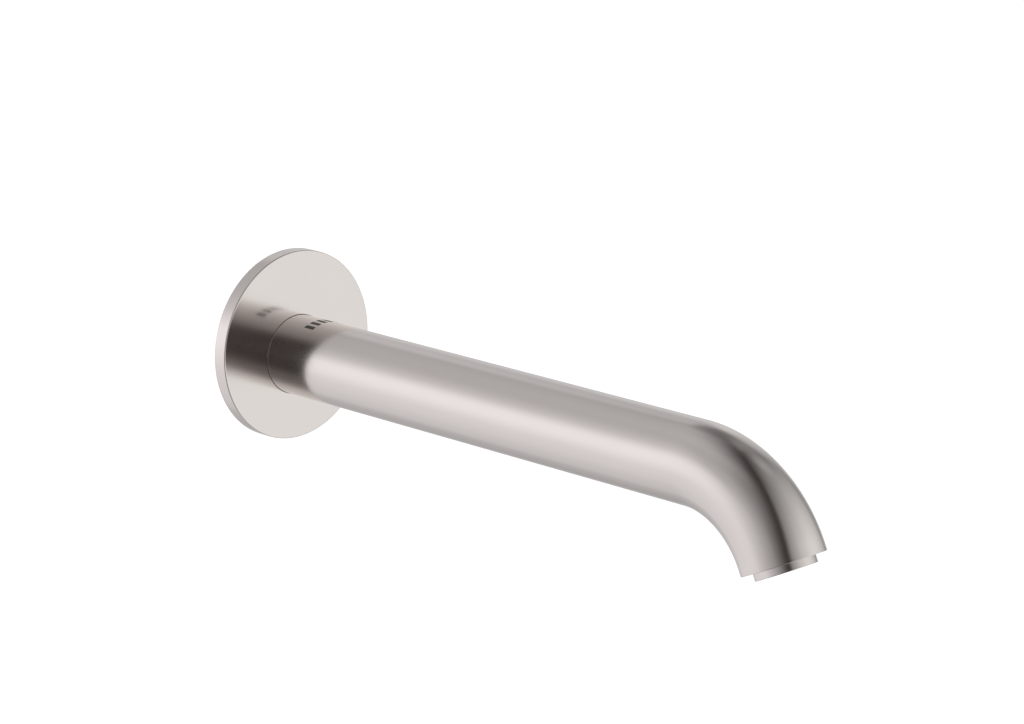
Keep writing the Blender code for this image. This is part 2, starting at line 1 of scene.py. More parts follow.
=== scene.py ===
"""Looks of the wall-mounted bath spout: fine turned and bent skins in brushed nickel, brass and
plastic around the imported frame, in a pale studio.

Lengths are metres. The tube's frame has its local +Z out of the wall and its local +Y up. The
outlet's frame has its local +Z out of the mouth, whose plane is 0. A turned piece's outline is a
list of stations: the distance along local Z, the radius and the centre's shift along local Y.
"""

import json
import math

import bmesh
import bpy
from mathutils import Matrix, Vector


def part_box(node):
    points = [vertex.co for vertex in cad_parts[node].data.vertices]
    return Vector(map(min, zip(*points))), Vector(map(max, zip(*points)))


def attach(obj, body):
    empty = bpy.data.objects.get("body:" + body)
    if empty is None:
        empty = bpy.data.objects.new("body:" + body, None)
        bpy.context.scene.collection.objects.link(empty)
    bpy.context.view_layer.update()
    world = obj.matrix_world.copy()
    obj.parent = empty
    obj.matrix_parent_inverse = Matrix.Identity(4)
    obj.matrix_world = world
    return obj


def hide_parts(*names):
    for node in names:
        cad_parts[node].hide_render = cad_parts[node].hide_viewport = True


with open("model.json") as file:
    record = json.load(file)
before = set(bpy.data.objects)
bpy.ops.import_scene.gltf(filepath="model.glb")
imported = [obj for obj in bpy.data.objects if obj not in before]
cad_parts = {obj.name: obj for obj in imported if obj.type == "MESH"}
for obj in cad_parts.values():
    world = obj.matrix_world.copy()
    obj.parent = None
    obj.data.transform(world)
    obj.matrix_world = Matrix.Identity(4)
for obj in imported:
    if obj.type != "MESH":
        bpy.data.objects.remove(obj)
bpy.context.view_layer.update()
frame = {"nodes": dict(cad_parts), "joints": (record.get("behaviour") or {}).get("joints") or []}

MM = 0.001
TURN = math.tau
CLEAR = 1.0 * MM  # how far a cutter runs past the face that it opens
SHARP = math.radians(35.0)  # edges that turn by more than this are shaded hard
WHITE = (1.0, 1.0, 1.0, 1.0)

# ---------------------------------------------------------------- sizes and frames

JOINTS = {joint["name"]: joint for joint in frame["joints"]}
MOUTH = Vector(JOINTS["aerator_turn"]["pos_m"])
OUT = Vector(JOINTS["aerator_turn"]["axis"]).normalized()
TUBE_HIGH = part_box("spout_tube")[1]
DISC_LOW, DISC_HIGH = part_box("escutcheon")

# What the frame's boxes and joints give, and the wall, tail and clearances that they don't.
TUBE_R = TUBE_HIGH.x
TUBE_WALL = 1.5 * MM
TUBE_REAR = -TUBE_HIGH.y
TAIL = 2.6 * MM  # straight stretch between the bend and the mouth
BEND = math.acos(-OUT.y)
BEND_R = (-MOUTH.z - TAIL * math.sin(BEND)) / (1 - math.cos(BEND))
BEND_START = -MOUTH.y - BEND_R * math.sin(BEND) - TAIL * math.cos(BEND)
TUBE_END = BEND_START + BEND_R * BEND + TAIL

DISC_R = DISC_HIGH.x
DISC_DEPTH = -DISC_LOW.y
DISC_REAR = -DISC_HIGH.y
DISC_SHIFT = (DISC_HIGH.z + DISC_LOW.z) / 2
BORE_R = TUBE_R + 0.1 * MM

HEX_REAR, HEX_FRONT, ADAPTER_END = -1.2 * MM, 4.0 * MM, 44.0 * MM
GROOVES = {"rear": 31.0 * MM, "front": 38.0 * MM}  # middles of the adapter's O-ring grooves
GRUB_AT = -sum(corner.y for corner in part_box("grub_screw")) / 2  # distance from the wall
GRUB_HOLE_R = 2.7 * MM

AERATOR_PITCH = 1.0 * MM
AERATOR_FLANK = math.radians(30)

TUBE_FRAME = Matrix(((1, 0, 0, 0), (0, 0, -1, 0), (0, 1, 0, 0), (0, 0, 0, 1)))
DISC_FRAME = TUBE_FRAME @ Matrix.Translation((0.0, DISC_SHIFT, 0.0))
# The grub screw's frame has its local +Z straight down, from the tube's centreline.
GRUB_FRAME = TUBE_FRAME @ Matrix.Translation((0, 0, GRUB_AT)) @ Matrix.Rotation(TURN / 4, 4, "X")
OUT_UP = OUT.cross(Vector((1, 0, 0)))
OUTLET_FRAME = Matrix.Translation(MOUTH) @ Matrix(
    ((1, 0, 0, 0), (0, OUT_UP.y, OUT.y, 0), (0, OUT_UP.z, OUT.z, 0), (0, 0, 0, 1))
)


# ---------------------------------------------------------------- node helpers


class Nodes:
    """A material or world tree with short calls for what this script repeats."""

    def __init__(self, owner):
        owner.use_nodes = True
        self.tree = owner.node_tree

    def add(self, kind, **settings):
        node = self.tree.nodes.new(kind)
        for key, value in settings.items():
            setattr(node, key, value)
        return node

    def link(self, source, target):
        self.tree.links.new(source, target)

    def put(self, socket, value):
        """Links a socket, or sets a plain value."""
        if isinstance(value, bpy.types.NodeSocket):
            self.link(value, socket)
        else:
            socket.default_value = value

    def math(self, operation, first, second=0.0, third=0.0):
        """Arithmetic on numbers, each a socket or a plain value."""
        node = self.add("ShaderNodeMath", operation=operation)
        for socket, value in zip(node.inputs, (first, second, third)):
            self.put(socket, value)
        return node.outputs[0]

    def vectors(self, operation, *values):
        """Arithmetic on vectors or colours, each a socket or plain numbers."""
        node = self.add("ShaderNodeVectorMath", operation=operation)
        for socket, value in zip(node.inputs, values):
            self.put(socket, value)
        return node.outputs["Vector"]

    def span(self, value, from_low, from_high, to_low, to_high):
        """A smooth step from one value to another, while the input crosses its own span."""
        node = self.add("ShaderNodeMapRange", interpolation_type="SMOOTHSTEP")
        for socket, setting in zip(node.inputs, (value, from_low, from_high, to_low, to_high)):
            self.put(socket, setting)
        return node.outputs["Result"]

    def facing(self, vector, direction):
        """The cosine of the angle between a vector socket and a fixed direction."""
        node = self.add("ShaderNodeVectorMath", operation="DOT_PRODUCT")
        self.link(vector, node.inputs[0])
        node.inputs[1].default_value = direction
        return node.outputs["Value"]

    def noise(self, vector, scale, detail=3.0, roughness=0.55):
        node = self.add("ShaderNodeTexNoise")
        self.put(node.inputs["Vector"], vector)
        node.inputs["Scale"].default_value = scale
        node.inputs["Detail"].default_value = detail
        node.inputs["Roughness"].default_value = roughness
        return node.outputs["Fac"]

    def tint(self, factor, dark, light):
        """A colour between two others."""
        node = self.add("ShaderNodeMix", data_type="RGBA")
        self.put(node.inputs["Factor"], factor)
        node.inputs["A"].default_value = (*dark, 1.0)
        node.inputs["B"].default_value = (*light, 1.0)
        return node.outputs["Result"]

    def ramp(self, value, stops):
        """A smooth curve through (place, grey) stops."""
        node = self.add("ShaderNodeValToRGB")
        node.color_ramp.interpolation = "CARDINAL"
        elements = node.color_ramp.elements
        while len(elements) > 1:
            elements.remove(elements[-1])
        for index, (place, shade) in enumerate(stops):
            element = elements[0] if index == 0 else elements.new(place)
            element.position = place
            element.color = (shade, shade, shade, 1.0)
        self.put(node.inputs["Fac"], value)
        return node.outputs["Color"]


def new_material(name, metallic):
    """A material with its tree of nodes and its surface shader."""
    material = bpy.data.materials.new(name)
    nodes = Nodes(material)
    shader = nodes.tree.nodes["Principled BSDF"]
    shader.inputs["Metallic"].default_value = metallic
    return material, nodes, shader


def bumped(nodes, shader, height, strength, distance):
    """Lets a height pattern tilt the shaded surface by up to a depth of distance."""
    bump = nodes.add("ShaderNodeBump")
    bump.inputs["Strength"].default_value = strength
    bump.inputs["Distance"].default_value = distance
    nodes.link(height, bump.inputs["Height"])
    nodes.link(bump.outputs["Normal"], shader.inputs["Normal"])


# ---------------------------------------------------------------- materials

# How fine the patterns are. The first two scale the stored grain, whose lengths are in
# millimetres, and the other three scale places in metres.
BRUSHED, LATHED = 9.0, 5.0
BLASTED, CLOUDED, MOTTLED = 2500.0, 45.0, 90.0
METAL_DEPTH = 0.02 * MM


def metal(name, dark, light, gloss, streak=None, relief=0.12):
    """Metal with fine streaks round the piece, along its stored grain directions. Without a
    streak scale it is evenly blasted instead, and needs no grain."""
    material, nodes, shader = new_material(name, 1.0)
    place = nodes.add("ShaderNodeTexCoord").outputs["Object"]
    if streak:
        grain = nodes.add("ShaderNodeAttribute", attribute_name="grain").outputs["Vector"]
        lines = nodes.noise(grain, streak, detail=4.0, roughness=0.65)
    else:
        lines = nodes.noise(place, BLASTED, detail=4.0, roughness=0.65)
    cloud = nodes.noise(place, CLOUDED)
    nodes.link(nodes.tint(cloud, dark, light), shader.inputs["Base Color"])
    nodes.link(nodes.span(lines, 0.25, 0.75, *gloss), shader.inputs["Roughness"])
    bumped(nodes, shader, lines, relief, METAL_DEPTH)
    return material


def moulded(name, dark, light, roughness, fineness, depth):
    """Plastic or rubber: a slightly uneven colour and a fine moulded or cellular surface."""
    material, nodes, shader = new_material(name, 0.0)
    place = nodes.add("ShaderNodeTexCoord").outputs["Object"]
    mottle = nodes.noise(place, MOTTLED)
    nodes.link(nodes.tint(mottle, dark, light), shader.inputs["Base Color"])
    pores = nodes.noise(place, fineness, detail=5.0, roughness=0.7)
    nodes.link(nodes.span(pores, 0.3, 0.7, *roughness), shader.inputs["Roughness"])
    bumped(nodes, shader, pores, 0.5, depth)
    return material


NICKEL_SHADES = (0.735, 0.683, 0.665), (0.762, 0.708, 0.690)
BRASS_SHADES = (0.66, 0.47, 0.20), (0.78, 0.58, 0.27)
STEEL_SHADES = (0.50, 0.50, 0.50), (0.58, 0.58, 0.57)
RUBBER_SHADES = (0.012, 0.012, 0.013), (0.03, 0.03, 0.03)
PLASTIC_SHADES = (0.52, 0.52, 0.50), (0.60, 0.60, 0.58)
FOAM_SHADES = (0.03, 0.03, 0.032), (0.09, 0.09, 0.09)
FIBRE_SHADES = (0.24, 0.05, 0.03), (0.40, 0.11, 0.06)
INK_SHADES = (0.045, 0.043, 0.042), (0.07, 0.067, 0.065)

NICKEL = metal("satin_nickel", *NICKEL_SHADES, (0.13, 0.17), streak=BRUSHED)
TURNED_NICKEL = metal("turned_nickel", *NICKEL_SHADES, (0.13, 0.20), streak=LATHED, relief=0.6)
BRASS = metal("turned_brass", *BRASS_SHADES, (0.22, 0.34), streak=BRUSHED)
CAST_BRASS = metal("cast_brass", *BRASS_SHADES, (0.28, 0.40))
STEEL = metal("turned_steel", *STEEL_SHADES, (0.25, 0.38), streak=BRUSHED)
ROLLED_STEEL = metal("rolled_steel", *STEEL_SHADES, (0.25, 0.38))
RUBBER = moulded("nitrile_rubber", *RUBBER_SHADES, (0.45, 0.6), 900.0, 0.03 * MM)
PLASTIC = moulded("acetal_plastic", *PLASTIC_SHADES, (0.35, 0.5), 700.0, 0.01 * MM)
FOAM = moulded("closed_cell_foam", *FOAM_SHADES, (0.8, 0.95), 1600.0, 0.12 * MM)
FIBRE = moulded("pressed_fibre", *FIBRE_SHADES, (0.7, 0.9), 1400.0, 0.05 * MM)
INK = moulded("grey_ink", *INK_SHADES, (0.4, 0.5), 2000.0, 0.002 * MM)


# ---------------------------------------------------------------- mesh helpers


def straight(matrix):
    """A place function for turned pieces: each ring lies square to the frame's local Z."""
    return lambda distance: matrix @ Matrix.Translation((0.0, 0.0, distance))


def along_tube(distance):
    """The tube's own frame at a distance from the wall along its centreline."""
    if distance <= BEND_START:
        return TUBE_FRAME @ Matrix.Translation((0.0, 0.0, distance))
    turned = min((distance - BEND_START) / BEND_R, BEND)
    rest = distance - BEND_START - BEND_R * turned
    start = TUBE_FRAME @ Matrix.Translation((0.0, -BEND_R, BEND_START))
    bent = start @ Matrix.Rotation(turned, 4, "X")
    return bent @ Matrix.Translation((0.0, BEND_R, rest))


def from_millimetres(corners):
    """The same corners in metres."""
    return [tuple(value * MM for value in corner) for corner in corners]


def rounded(corners):
    """Stations round a closed outline. Each corner is (distance, radius) or (distance, radius,
    fillet) or (distance, radius, fillet, shift): the fillet is a small arc, with a close
    station on each long side of it that keeps the flats flat."""
    steps = 4
    close, long = 1.6, 5.0  # a close station's distance and a long side's length, in fillets
    full = [(*corner, 0.0, 0.0)[:4] for corner in corners]
    points = [Vector((distance, radius, shift)) for distance, radius, _, shift in full]
    stations = []
    for index, (point, (_, _, fillet, _)) in enumerate(zip(points, full)):
        if not fillet:
            stations.append(point)
            continue
        before = points[index - 1] - point
        after = points[(index + 1) % len(points)] - point
        enter = point + before.normalized() * fillet
        leave = point + after.normalized() * fillet
        if before.length > long * fillet:
            stations.append(point + before.normalized() * fillet * close)
        for step in range(steps + 1):
            t = step / steps
            stations.append(enter * (1 - t) ** 2 + point * 2 * t * (1 - t) + leave * t**2)
        if after.length > long * fillet:
            stations.append(point + after.normalized() * fillet * close)
    return [tuple(station) for station in stations]


def reach(radius, angle):
    """A station's radius at an angle: only hexagons and threads change with the angle."""
    return radius(angle) if callable(radius) else radius


def skin(name, stations, place, sides=144, closed=True):
    """A surface of rings through the stations, whose last ring joins the first if it is closed.
    A radius may be a function of the angle, and a radius of 0 ends the surface on the axis. The
    vertices store the place along and round the outline as 'grain', for brushed materials."""
    bm = bmesh.new()
    grain = bm.verts.layers.float_vector.new("grain")
    rings, travelled, last = [], 0.0, None
    for distance, radius, shift in stations:
        matrix = place(distance)
        here = (distance, reach(radius, 0.0))
        if last is not None:
            travelled += math.hypot(here[0] - last[0], here[1] - last[1])
        last = here
        ring = []
        for index in range(1 if radius == 0.0 else sides):
            angle = TURN * index / sides
            across = reach(radius, angle)
            local = Vector((across * math.cos(angle), across * math.sin(angle) + shift, 0.0))
            vertex = bm.verts.new(matrix @ local)
            vertex[grain] = (math.cos(angle), math.sin(angle), travelled / MM)
            ring.append(vertex)
        rings.append(ring)
    pairs = list(zip(rings, rings[1:]))
    if closed:
        pairs.append((rings[-1], rings[0]))
    for first, second in pairs:
        for index in range(sides):
            after = (index + 1) % sides
            corners = [first[index % len(first)], first[after % len(first)]]
            corners += [second[after % len(second)], second[index % len(second)]]
            bm.faces.new(list(dict.fromkeys(corners)))
    return piece_from(name, bm)


def shade(mesh):
    """Smooth shading between hard edges."""
    mesh.shade_smooth()
    mesh.set_sharp_from_angle(angle=SHARP)


def piece_from(name, bm):
    """An object of the built faces, turned to look outwards."""
    bmesh.ops.recalc_face_normals(bm, faces=bm.faces)
    mesh = bpy.data.meshes.new(name)
    bm.to_mesh(mesh)
    bm.free()
    shade(mesh)
    obj = bpy.data.objects.new(name, mesh)
    bpy.context.scene.collection.objects.link(obj)
    return obj


def dress(obj, material, body, slot, *nodes):
    """Gives a piece its material, hangs it on the body that it rides on and hides the CAD nodes it
    stands for.
    """
    obj.data.materials.clear()
    obj.data.materials.append(material)
    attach(obj, body)
    if nodes:
        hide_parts(*nodes)
    return obj


def prisms(bm, radius, low, high, places, matrix, sides=6):
    """Upright prisms at (x, y), from low to high along the local Z axis."""
    for x, y in places:
        middle = Matrix.Translation((x, y, (low + high) / 2))
        bmesh.ops.create_cone(
            bm,
            cap_ends=True,
            segments=sides,
            radius1=radius,
            radius2=radius,
            depth=high - low,
            matrix=matrix @ middle,
        )


def blocks(bm, places, size, matrix):
    """Boxes of one size at (x, y, z), each turned to face away from the local Z axis."""
    for x, y, z in places:
        turned = Matrix.Translation((x, y, z)) @ Matrix.Rotation(math.atan2(y, x), 4, "Z")
        sized = turned @ Matrix.Diagonal((*size, 1.0))
        bmesh.ops.create_cube(bm, size=1.0, matrix=matrix @ sized)


def apply_boolean(obj, bm, operation="DIFFERENCE"):
    """Cuts obj with the closed bodies in bm, or joins them, and drops the cutter."""
    other = piece_from(obj.name + "_tool", bm)
    modifier = obj.modifiers.new("Boolean", "BOOLEAN")
    modifier.operation = operation
    modifier.object = other
    graph = bpy.context.evaluated_depsgraph_get()
    mesh = bpy.data.meshes.new_from_object(obj.evaluated_get(graph))
    obj.modifiers.clear()
    obj.data = mesh
    bpy.data.objects.remove(other)
    shade(mesh)


def polar(radius, count, start=0.0):
    """Points (x, y) evenly spaced round a circle."""
    turns = [start + TURN * index / count for index in range(count)]
    return [(radius * math.cos(turn), radius * math.sin(turn)) for turn in turns]


def hexagonal_grid(pitch, rings):
    """Points (x, y) of a honeycomb's cells: one in the middle and so many rings round it."""
    span = range(-rings, rings + 1)
    cells = [(q, r) for q in span for r in span if abs(q + r) <= rings]
    return [(pitch * (q + r / 2), pitch * r * math.sqrt(3) / 2) for q, r in cells]


def hexagon(flats, limit=math.inf):
    """Radius function of a hexagon across these flats, trimmed to a round limit."""
    sixth = TURN / 6
    return lambda angle: min(limit, flats / 2 / math.cos(angle % sixth - sixth / 2))


def thread(low, high, root, crest, flat, flank, pitch):
    """Stations down a right-hand thread from high to low, which runs out at both ends. Its
    crest has a flat and its sides lean by the flank angle."""
    per_turn = 10

    def radius_at(distance):
        room = min(high - distance, distance - low)

        def radius(angle):
            turns = distance / pitch - angle / TURN
            off = abs(turns - round(turns)) * pitch
            side = crest - max(0.0, off - flat / 2) / math.tan(flank)
            return max(root, min(side, root + room))

        return radius

    count = math.ceil((high - low) / pitch * per_turn)
    distances = [high + (low - high) * step / count for step in range(count + 1)]
    return [(distance, radius_at(distance), 0.0) for distance in distances]


# ---------------------------------------------------------------- spout


def make_tube():
    """The bent tube, outside and inside, with the grub screw's hole."""
    inner = TUBE_R - TUBE_WALL
    bend_rings = 46
    near_hole = [GRUB_AT + step * MM for step in range(-4, 5)]
    on_straight = [8 * MM, *near_hole, 30 * MM, 80 * MM, 130 * MM, 180 * MM, 198 * MM]
    on_bend = [BEND_START + BEND_R * BEND * step / bend_rings for step in range(bend_rings + 1)]
    middle = [*on_straight, *on_bend]
    corners = [(TUBE_REAR, TUBE_R, 0.2 * MM)]
    corners += [(distance, TUBE_R) for distance in middle]
    corners += [(TUBE_END, TUBE_R, 0.15 * MM), (TUBE_END, inner, 0.2 * MM)]
    corners += [(distance, inner) for distance in reversed(middle)]
    corners += [(TUBE_REAR, inner, 0.4 * MM)]
    tube = skin("tube_skin", rounded(corners), along_tube, sides=192)
    hole = bmesh.new()
    low, high = inner - 2 * CLEAR, TUBE_R + 2 * CLEAR
    prisms(hole, GRUB_HOLE_R, low, high, [(0, 0)], GRUB_FRAME, sides=48)
    apply_boolean(tube, hole)
    dress(tube, NICKEL, "spout", "brushed_nickel", "spout_tube")


def add_bar(bm, low, high, start, width):
    """A thin closed bar wrapped round the tube's surface, from a start angle on."""
    steps, under, over = 6, TUBE_R - 0.015 * MM, TUBE_R + 0.03 * MM
    sections = []
    for step in range(steps + 1):
        angle = start + width * step / steps
        around = Vector((math.cos(angle), math.sin(angle), 0.0))
        outline = ((low, under), (high, under), (high, over), (low, over))
        section = [along_tube(distance) @ (radius * around) for distance, radius in outline]
        sections.append([bm.verts.new(point) for point in section])
    bm.faces.new(sections[0])
    bm.faces.new(sections[-1])
    for first, second in zip(sections, sections[1:]):
        for side in range(4):
            other = (side + 1) % 4
            bm.faces.new((first[side], first[other], second[other], second[side]))


def make_mark():
    """A plain row of small printed bars on top of the tube, near the wall."""
    bars, low, high = 5, 16.9 * MM, 21.5 * MM
    pitch, width = math.radians(11.5), math.radians(6.5)
    bm = bmesh.new()
    for bar in range(bars):
        middle = TURN / 4 + (bar - (bars - 1) / 2) * pitch
        add_bar(bm, low, high, middle - width / 2, width)
    mark = piece_from("bar_mark", bm)
    dress(mark, INK, "spout", "black_rubber")


def make_grub_screw():
    """The locking screw: key socket in its lower end, thread, and a cone down to a flat tip."""
    tip, end = (-corner.z for corner in reversed(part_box("grub_screw")))
    radius, core, tip_r, cone = 2.4 * MM, 2.0 * MM, 1.0 * MM, 1.4 * MM
    pitch, crest_flat, flank = 0.8 * MM, 0.1 * MM, math.radians(29.8)
    socket, socket_cone, key = 1.8 * MM, 0.4 * MM, hexagon(2.5 * MM)
    stations = [
        (end - socket - socket_cone, 0.0, 0.0),
        (end - socket, key, 0.0),
        (end, key, 0.0),
        (end - 0.09 * MM, radius - 0.26 * MM, 0.0),
    ]
    stations += thread(tip + cone, end - 0.3 * MM, core, radius, crest_flat, flank, pitch)
    stations += [(tip, tip_r, 0.0), (tip, 0.0, 0.0)]
    screw = skin("grub_screw_skin", stations, straight(GRUB_FRAME), sides=72, closed=False)
    dress(screw, STEEL, "locking_screw", "stainless_steel", "grub_screw")


# ---------------------------------------------------------------- wall side


def make_escutcheon():
    """The wall plate, a shallow cup whose bore is round the tube and whose rim is off centre."""
    rim, face, back = 1.5 * MM, DISC_DEPTH, DISC_DEPTH - 1.8 * MM

    def between(distance, share):
        return (distance, BORE_R + (DISC_R - BORE_R) * share, 0.0, DISC_SHIFT * share)

    corners = [(face, BORE_R, 0.12 * MM, 0.0)]
    corners += [between(face, share) for share in (0.1, 0.3, 0.5, 0.7)]
    corners += [
        (face, DISC_R, 0.45 * MM, DISC_SHIFT),
        (DISC_REAR, DISC_R, 0.1 * MM, DISC_SHIFT),
        (DISC_REAR, DISC_R - rim, 0.1 * MM, DISC_SHIFT),
        (back, DISC_R - rim, 0.5 * MM, DISC_SHIFT),
        (back, BORE_R, 0.1 * MM, 0.0),
    ]
    disc = skin("escutcheon_skin", rounded(corners), straight(TUBE_FRAME), sides=240)
    dress(disc, NICKEL, "escutcheon_set", "brushed_nickel", "escutcheon")


def nose_outline():
    """The adapter's nose from its end back to the hexagon, with the two O-ring grooves and the
    grub screw's V groove."""
    end, radius, chamfer = ADAPTER_END, 10.9 * MM, 0.8 * MM
    groove_r, groove_half, vee = 9.0 * MM, 1.3 * MM, 1.3 * MM
    outline = [(end, radius - chamfer), (end - chamfer, radius)]
    for centre in (GROOVES["front"], GROOVES["rear"]):
        for side, across in ((1, radius), (1, groove_r), (-1, groove_r), (-1, radius)):
            outline.append((centre + side * groove_half, across))
    for step, depth in ((2, 0.0), (1, vee), (-1, vee), (-2, 0.0)):
        outline.append((GRUB_AT + step * vee, radius - depth))
    outline.append((HEX_FRONT, radius))
    return [(distance, across, 0.0) for distance, across in outline]


def make_wall_adapter():
    """The nipple in the wall: nose, hexagon and thread outside, key socket and waterway inside."""
    flats, bevel, trim = 22.0 * MM, 0.6 * MM, 0.2 * MM
    whole, trimmed = hexagon(flats), hexagon(flats, flats / 2 + trim)
    root, crest, crest_flat, pitch = 9.35 * MM, 10.48 * MM, 0.35 * MM, 1.814 * MM
    thread_rear, thread_front, neck_r = -18.0 * MM, -3.4 * MM, 9.05 * MM
    socket, step, key, bore = 14.0 * MM, 1.0 * MM, hexagon(12.0 * MM), 5.85 * MM
    stations = [
        *nose_outline(),
        (HEX_FRONT, trimmed, 0.0),
        (HEX_FRONT - bevel, whole, 0.0),
        (HEX_REAR + bevel, whole, 0.0),
        (HEX_REAR, trimmed, 0.0),
        (HEX_REAR, neck_r, 0.0),
        (thread_front, neck_r, 0.0),
    ]
    run_in, flank = thread_rear + 0.3 * MM, math.radians(27.5)
    stations += thread(run_in, thread_front, root, crest, crest_flat, flank, pitch)
    stations += [
        (thread_rear, root - 0.4 * MM, 0.0),
        (thread_rear, bore, 0.0),
        (ADAPTER_END - socket - step, bore, 0.0),
        (ADAPTER_END - socket, key, 0.0),
        (ADAPTER_END, key, 0.0),
    ]
    adapter = skin("wall_adapter_skin", stations, straight(TUBE_FRAME))
    dress(adapter, BRASS, "spout", "brass", "wall_adapter")


def turned_piece(name, node, corners, matrix, material, body, slot):
    """A plain turned piece from its corners (distance, radius, fillet) in millimetres."""
    obj = skin(name, rounded(from_millimetres(corners)), straight(matrix))
    return dress(obj, material, body, slot, node)


def make_flat_seal():
    """The washer between the hexagon and the wall's fitting."""
    front, rear, outer, inner = -1.5, -3.3, 12.5, 10.78
    corners = [
        (front, outer, 0.15),
        (rear, outer, 0.15),
        (rear, inner, 0.1),
        (front, inner, 0.1),
    ]
    turned_piece(
        "flat_seal",
        "adapter_flat_seal",
        corners,
        TUBE_FRAME,
        FIBRE,
        "spout",
        "fibre_seal",
    )


def make_o_ring(node, ring_r, cord_r, centre, body):
    """A rubber ring of round cord, ring_r from the tube's axis to the cord's middle."""
    circle = [(centre + along, ring_r + across, 0.0) for across, along in polar(cord_r, 20)]
    obj = skin(node + "_skin", circle, straight(TUBE_FRAME), sides=96)
    dress(obj, RUBBER, body, "black_rubber", node)


def make_o_rings():
    """The two O-rings on the adapter's nose and the one in the carrier's hub."""
    for place in ("rear", "front"):
        make_o_ring(f"adapter_o_ring_{place}", 10.1 * MM, 1.0 * MM, GROOVES[place], "spout")
    ring_r, cord_r, centre = TUBE_R + 0.88 * MM, 0.75 * MM, 2.05 * MM
    make_o_ring("escutcheon_o_ring", ring_r, cord_r, centre, "escutcheon_set")


def make_wall_gasket():
    """The foam ring between the plate and the wall."""
    rear, front, inner, outer, fillet = 0.0, 1.4, 28.0, 33.1, 0.1
    corners = [
        (rear, inner, fillet),
        (rear, outer, fillet),
        (front, outer, fillet),
        (front, inner, fillet),
    ]
    turned_piece(
        "foam_ring",
        "escutcheon_wall_gasket",
        corners,
        DISC_FRAME,
        FOAM,
        "escutcheon_set",
        "grey_foam",
    )


def make_carrier():
    """The moulded hub with its O-ring groove, the rim and the spokes behind the plate's face."""
    front, hub_rear, hub_r, hub_bore = 3.7, 0.5, 18.6, 14.91
    groove_rear, groove_front, groove_r = 1.1, 3.0, 16.6
    hub = [
        (front, hub_r, 0.2),
        (hub_rear, hub_r, 0.3),
        (hub_rear, hub_bore, 0.15),
        (groove_rear, hub_bore, 0.1),
        (groove_rear, groove_r),
        (groove_front, groove_r),
        (groove_front, hub_bore, 0.1),
        (front, hub_bore, 0.1),
    ]
    carrier = turned_piece(
        "carrier_skin",
        "escutcheon_carrier",
        hub,
        TUBE_FRAME,
        PLASTIC,
        "escutcheon_set",
        "white_plastic",
    )
    rim_rear, rim_outer, rim_inner = 1.7, 33.2, 27.6
    rim_corners = [
        (front, rim_outer, 0.1),
        (rim_rear, rim_outer, 0.1),
        (rim_rear, rim_inner, 0.3),
        (front, rim_inner, 0.2),
    ]
    rim = skin("carrier_rim", rounded(from_millimetres(rim_corners)), straight(DISC_FRAME))
    rim_faces = bmesh.new()
    rim_faces.from_mesh(rim.data)
    bpy.data.objects.remove(rim)
    apply_boolean(carrier, rim_faces, "UNION")
    count, length, width = 6, 10.5 * MM, 2.4 * MM
    low, high, middle_r = 2.1 * MM, 3.4 * MM, 24.0 * MM
    spokes = bmesh.new()
    places = [(x, y, (low + high) / 2) for x, y in polar(middle_r, count, TURN / 12)]
    blocks(spokes, places, (length, width, high - low), DISC_FRAME)
    apply_boolean(carrier, spokes, "UNION")


# ---------------------------------------------------------------- aerator


def make_outlet_bush():
    """The bush inside the mouth, with the aerator's seat and its female thread."""
    top, seat, mouth = -6.3 * MM, -5.2 * MM, -0.15 * MM
    shoulder_top, shoulder_low = -3.1 * MM, -2.6 * MM
    outer = TUBE_R - TUBE_WALL - 0.3 * MM
    slim, seat_r, core, crest = outer - 0.5 * MM, 9.6 * MM, 11.55 * MM, 12.05 * MM
    edge, lead_in, crest_flat = 0.1 * MM, 0.5 * MM, 0.25 * MM
    stations = [
        (top, seat_r, 0.0),
        (top, slim, 0.0),
        (shoulder_top, slim, 0.0),
        (shoulder_low, outer, 0.0),
        (mouth - edge, outer, 0.0),
        (mouth, outer - edge, 0.0),
        (mouth, core + edge + lead_in, 0.0),
        (mouth - lead_in, core + edge, 0.0),
    ]
    run_out, run_in = seat + 0.3 * MM, mouth - lead_in
    stations += thread(run_out, run_in, core, crest, crest_flat, AERATOR_FLANK, AERATOR_PITCH)
    stations += [(seat, core, 0.0), (seat, seat_r, 0.0)]
    bush = skin("outlet_bush_skin", stations, straight(OUTLET_FRAME))
    dress(bush, NICKEL, "spout", "brass", "outlet_bush")


def make_aerator_ring():
    """The ring that shows at the mouth, with its male thread above and key notches below."""
    ring_r, bore, lip_r, lip_top_r = 10.7 * MM, 9.6 * MM, 8.9 * MM, 9.4 * MM
    rim, lip_top, top = 2.7 * MM, 1.9 * MM, -2.9 * MM
    root, crest, crest_flat, edge = 11.35 * MM, 11.85 * MM, 0.15 * MM, 0.1 * MM
    shown = [
        (edge, ring_r),
        (rim, ring_r, 0.18 * MM),
        (rim, lip_r, 0.08 * MM),
        (lip_top, lip_top_r),
    ]
    run_out, run_in = top + edge, -0.35 * MM
    male = thread(run_out, run_in, root, crest, crest_flat, AERATOR_FLANK, AERATOR_PITCH)
    stations = [
        *rounded(shown),
        (lip_top, bore, 0.0),
        (top, bore, 0.0),
        (top, root - edge, 0.0),
        *reversed(male),
        (-0.25 * MM, root, 0.0),
    ]
    obj = skin("aerator_ring_skin", stations, straight(OUTLET_FRAME), sides=192)
    notches = bmesh.new()
    count, size = 4, (2.0 * MM, 1.8 * MM, 1.2 * MM)
    places = [(x, y, rim) for x, y in polar(lip_r, count, TURN / 8)]
    blocks(notches, places, size, OUTLET_FRAME)
    apply_boolean(obj, notches)
    dress(obj, TURNED_NICKEL, "aerator_ring", "brushed_nickel", "aerator_housing")


